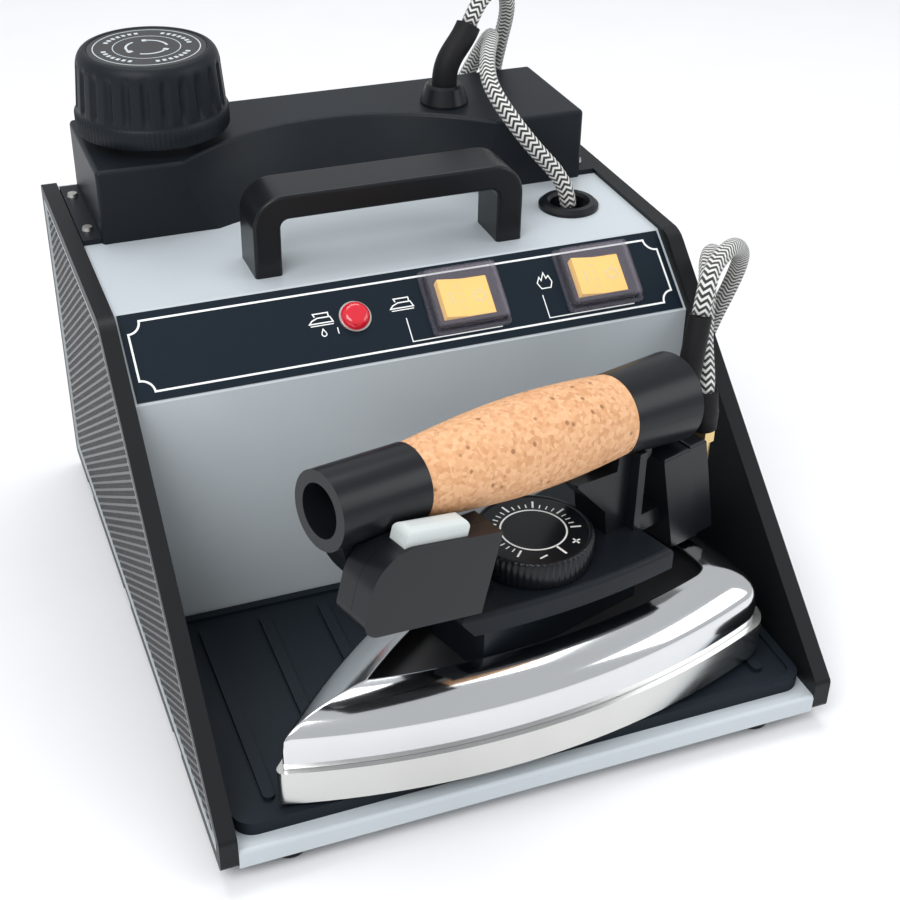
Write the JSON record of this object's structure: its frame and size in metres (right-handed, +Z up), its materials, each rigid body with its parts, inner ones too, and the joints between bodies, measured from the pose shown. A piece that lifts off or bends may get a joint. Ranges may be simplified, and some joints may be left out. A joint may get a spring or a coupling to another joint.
{
  "type": "steam generator iron",
  "caption": "Boiler cabinet with perforated sides, switch console, screw cap and parking tray, joined by two braided cords to a chrome iron with a cork grip.",
  "frame": {"origin": "on the floor under the middle of the cabinet", "axes": "+Z up, -Y towards the front lip of the tray, +X to the cabinet's right-hand side seen from the front"},
  "size_m": [0.309, 0.4576, 0.2518],
  "materials": {
    "grey_paint": "satin light blue-grey powder coat",
    "black_frame": "fine texture black",
    "black_mesh": "perforated black",
    "black_plastic": "fine spark texture",
    "satin_plastic": "satin black",
    "plate_print": "dark navy screen print",
    "mat_rubber": "matt",
    "foot_rubber": "matt",
    "seal_rubber": "red-brown silicone",
    "zinc_steel": "zinc plated",
    "amber_plastic": "lit amber",
    "clear_plastic": "clear cover",
    "red_lens": "red lens",
    "boiler_steel": "drawn steel",
    "brass": "machined",
    "copper": "copper tube",
    "coil_blue": "moulded coil",
    "block_white": "moulded",
    "disc_print": "printed disc",
    "sole_metal": "polished",
    "chrome": "polished",
    "cork": "sealed cork",
    "button_grey": "satin light grey",
    "braid": "black and white braid"
  },
  "bodies": {
    "cabinet": {"base_pan": "grey_paint", "top_and_front_sheet": "grey_paint", "nameplate": "plate_print", "rear_panel": "grey_paint", "left_side_panel": "black_frame", "right_side_panel": "black_frame", "left_mesh_sheet": "black_mesh", "right_mesh_sheet": "black_mesh", "tray_mat": "mat_rubber", "rubber_feet": "foot_rubber", "carrying_handle": "satin_plastic", "cabinet_screws": "zinc_steel", "rear_cover": "black_plastic", "hose_gland": "satin_plastic", "hose_sleeve": "foot_rubber", "cord_grommet": "satin_plastic", "iron_switch_housing": "satin_plastic", "boiler_switch_housing": "satin_plastic", "iron_switch_cover": "clear_plastic", "boiler_switch_cover": "clear_plastic", "pilot_lamp_holder": "zinc_steel", "pilot_lamp_lens": "red_lens", "boiler_tank": "boiler_steel", "boiler_heater": "copper", "boiler_cradles": "zinc_steel", "pressure_switch": "block_white", "safety_thermostat": "zinc_steel", "solenoid_valve": "coil_blue", "steam_pipe": "copper", "terminal_block": "block_white", "mains_gland": "satin_plastic", "hose_coil": "braid", "cord_coil": "braid", "steam_hose": "braid", "iron_cord": "braid"},
    "cap_plunger": {"relief_plunger": "brass"},
    "cap": {"cap_shell": "black_plastic", "cap_disc": "disc_print", "cap_stopper": "brass", "cap_seal": "seal_rubber"},
    "iron_rocker": {"iron_switch_rocker": "amber_plastic"},
    "boiler_rocker": {"boiler_switch_rocker": "amber_plastic"},
    "iron": {"soleplate": "sole_metal", "iron_cover": "chrome", "heat_shield": "zinc_steel", "iron_body": "black_plastic", "front_arm": "satin_plastic", "rear_post": "satin_plastic", "cork_grip": "cork", "grip_rod": "brass", "switch_box_near_half": "satin_plastic", "switch_box_far_half": "satin_plastic", "steam_microswitch": "block_white", "thermostat": "zinc_steel", "terminal_box_front": "satin_plastic", "terminal_box_rear": "satin_plastic", "iron_cord_sleeve": "foot_rubber", "steam_inlet": "brass"},
    "button": {"steam_button": "button_grey"},
    "dial": {"thermostat_dial": "satin_plastic"}
  },
  "joints": [
    {"name": "iron_lift", "type": "slide", "parent": "cabinet", "child": "iron", "axis": [0, 0, 1], "range_m": [0, 0.14], "deforming": ["iron_cord", "steam_hose"]},
    {"name": "cap_rise", "type": "slide", "parent": "cabinet", "child": "cap_plunger", "axis": [0, 0, 1], "range_m": [0, 0.008]},
    {"name": "cap_turn", "type": "hinge", "parent": "cap_plunger", "child": "cap", "pos_m": [-0.0858, 0.1225, 0.204], "axis": [0, 0, 1], "range_deg": [0, 720]},
    {"name": "iron_switch_rock", "type": "hinge", "parent": "cabinet", "child": "iron_rocker", "pos_m": [0.0247, 0.00108, 0.15148], "axis": [0, 0.7887, 0.6147], "range_deg": [-16, 0]},
    {"name": "boiler_switch_rock", "type": "hinge", "parent": "cabinet", "child": "boiler_rocker", "pos_m": [0.0911, 0.00108, 0.15148], "axis": [0, 0.7887, 0.6147], "range_deg": [-16, 0]},
    {"name": "button_press", "type": "slide", "parent": "iron", "child": "button", "axis": [-0.2468, -0.0778, -0.9659], "range_m": [0, 0.0025], "stiffness_N_per_m": 500, "springref_m": -0.001},
    {"name": "dial_turn", "type": "hinge", "parent": "iron", "child": "dial", "pos_m": [0.01341, -0.10846, 0.0937], "axis": [0, 0, 1], "range_deg": [-150, 150]}
  ],
  "couplings": [
    {"joint": "cap_turn", "follows": "cap_rise", "rad_per_m": 1570.8}
  ]
}
